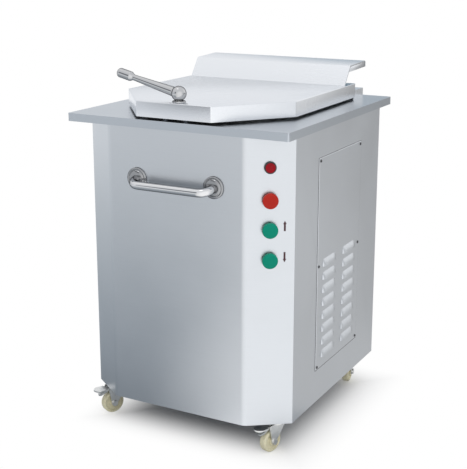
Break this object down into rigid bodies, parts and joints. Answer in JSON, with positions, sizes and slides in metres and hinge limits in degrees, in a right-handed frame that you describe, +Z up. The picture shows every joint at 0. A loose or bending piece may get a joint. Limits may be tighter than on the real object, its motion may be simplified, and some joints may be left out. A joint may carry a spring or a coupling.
{
  "type": "dough divider",
  "caption": "Floor-standing hydraulic dough divider: chamfered steel cabinet on swivel castors, hinged lid with ball lever, round dough basin with pads and knives, grab bar and push buttons.",
  "frame": {"origin": "on the floor, below the middle of the footprint", "axes": "+X to the right of a person facing the front, +Y to the rear, +Z up"},
  "size_m": [0.65, 0.7344, 0.9977],
  "materials": {
    "skin": "satin stainless sheet",
    "lid_steel": "bright stainless sheet",
    "polished": "polished",
    "knife_steel": "ground",
    "zinc": "zinc plated",
    "frame_paint": "dark paint",
    "gland_brass": "turned",
    "black_plastic": "matte",
    "lamp_red": "red lens",
    "stop_red": "semi-gloss",
    "green": "semi-gloss",
    "nylon": "moulded nylon",
    "food_plastic": "food-grade plastic"
  },
  "bodies": {
    "chassis": {"base_frame": "frame_paint", "floor_tray": "frame_paint", "frame_posts": "frame_paint", "front_panel": "skin", "left_panel": "skin", "right_panel": "skin", "rear_panel": "skin", "access_panel": "skin", "access_screws": "polished", "tabletop": "lid_steel", "handle_bar": "polished", "handle_rosettes": "polished", "control_bezels": "black_plastic", "lamp_lens": "lamp_red", "switch_blocks": "black_plastic", "press_plates": "frame_paint", "tie_rods": "polished", "basin": "lid_steel", "ram_barrel": "frame_paint", "ram_gland": "gland_brass", "knife_cylinders": "frame_paint", "oil_tank": "frame_paint", "motor_housing": "frame_paint", "gear_pump": "zinc", "valve_block": "zinc", "pressure_pipes": "zinc", "control_box": "zinc", "cable_gland": "black_plastic", "hinge_brackets": "lid_steel", "hinge_shaft": "polished", "latch_keeper": "zinc", "caster_plates": "zinc"},
    "lid": {"lid_shell": "lid_steel", "lid_press_plate": "food_plastic", "lid_ribs": "zinc", "lid_hinge_arms": "lid_steel", "lid_upstand": "lid_steel", "lever_bush": "zinc"},
    "lever": {"lever_handle": "polished", "lock_spindle": "zinc"},
    "press": {"pressing_pads": "food_plastic", "pad_carrier": "zinc", "ram_rod": "polished"},
    "knives": {"knife_blades": "knife_steel", "ring_knife": "knife_steel", "knife_carrier": "zinc"},
    "motor": {"motor_rotor": "zinc"},
    "stop": {"stop_button": "stop_red"},
    "raise": {"up_button": "green"},
    "lower": {"down_button": "green"},
    "swivel_front_left": {"fork_front_left": "zinc"},
    "roll_front_left": {"wheel_front_left": "nylon"},
    "brake_front_left": {"pedal_front_left": "zinc"},
    "swivel_front_right": {"fork_front_right": "zinc"},
    "roll_front_right": {"wheel_front_right": "nylon"},
    "brake_front_right": {"pedal_front_right": "zinc"},
    "swivel_rear_left": {"fork_rear_left": "zinc"},
    "roll_rear_left": {"wheel_rear_left": "nylon"},
    "swivel_rear_right": {"fork_rear_right": "zinc"},
    "roll_rear_right": {"wheel_rear_right": "nylon"}
  },
  "joints": [
    {"name": "lid_hinge", "type": "hinge", "parent": "chassis", "child": "lid", "pos_m": [0, 0.30475, 0.888], "axis": [-1, 0, 0], "range_deg": [0, 85]},
    {"name": "lever_turn", "type": "hinge", "parent": "lid", "child": "lever", "pos_m": [0, -0.29325, 0.9222], "axis": [0, 0, -1], "range_deg": [0, 90]},
    {"name": "press_ram", "type": "slide", "parent": "chassis", "child": "press", "axis": [0, 0, 1], "range_m": [0, 0.118]},
    {"name": "knife_lift", "type": "slide", "parent": "chassis", "child": "knives", "axis": [0, 0, 1], "range_m": [0, 0.118]},
    {"name": "motor_spin", "type": "hinge", "parent": "chassis", "child": "motor", "pos_m": [0.12, 0.26475, 0.3], "axis": [0, 0, 1], "continuous": true},
    {"name": "stop_press", "type": "slide", "parent": "chassis", "child": "stop", "axis": [-0.5791, 0.8153, 0], "range_m": [0, 0.004], "stiffness_N_per_m": 600},
    {"name": "raise_press", "type": "slide", "parent": "chassis", "child": "raise", "axis": [-0.5791, 0.8153, 0], "range_m": [0, 0.004], "stiffness_N_per_m": 600},
    {"name": "lower_press", "type": "slide", "parent": "chassis", "child": "lower", "axis": [-0.5791, 0.8153, 0], "range_m": [0, 0.004], "stiffness_N_per_m": 600},
    {"name": "swivel_front_left", "type": "hinge", "parent": "chassis", "child": "swivel_front_left", "pos_m": [-0.252, -0.23525, 0.077], "axis": [0, 0, 1], "continuous": true},
    {"name": "roll_front_left", "type": "hinge", "parent": "swivel_front_left", "child": "roll_front_left", "pos_m": [-0.262, -0.25257, 0.0315], "axis": [0.866, -0.5, 0], "continuous": true},
    {"name": "brake_front_left", "type": "hinge", "parent": "swivel_front_left", "child": "brake_front_left", "pos_m": [-0.267, -0.26123, 0.0732], "axis": [0.866, -0.5, 0], "range_deg": [0, 12]},
    {"name": "swivel_front_right", "type": "hinge", "parent": "chassis", "child": "swivel_front_right", "pos_m": [0.252, -0.23525, 0.077], "axis": [0, 0, 1], "continuous": true},
    {"name": "roll_front_right", "type": "hinge", "parent": "swivel_front_right", "child": "roll_front_right", "pos_m": [0.24615, -0.25438, 0.0315], "axis": [0.9563, -0.2924, 0], "continuous": true},
    {"name": "brake_front_right", "type": "hinge", "parent": "swivel_front_right", "child": "brake_front_right", "pos_m": [0.24323, -0.26394, 0.0732], "axis": [0.9563, -0.2924, 0], "range_deg": [0, 12]},
    {"name": "swivel_rear_left", "type": "hinge", "parent": "chassis", "child": "swivel_rear_left", "pos_m": [-0.252, 0.25475, 0.077], "axis": [0, 0, 1], "continuous": true},
    {"name": "roll_rear_left", "type": "hinge", "parent": "swivel_rear_left", "child": "roll_rear_left", "pos_m": [-0.24682, 0.23543, 0.0315], "axis": [0.9659, 0.2588, 0], "continuous": true},
    {"name": "swivel_rear_right", "type": "hinge", "parent": "chassis", "child": "swivel_rear_right", "pos_m": [0.252, 0.25475, 0.077], "axis": [0, 0, 1], "continuous": true},
    {"name": "roll_rear_right", "type": "hinge", "parent": "swivel_rear_right", "child": "roll_rear_right", "pos_m": [0.24853, 0.27445, 0.0315], "axis": [-0.9848, -0.1736, 0], "continuous": true}
  ]
}
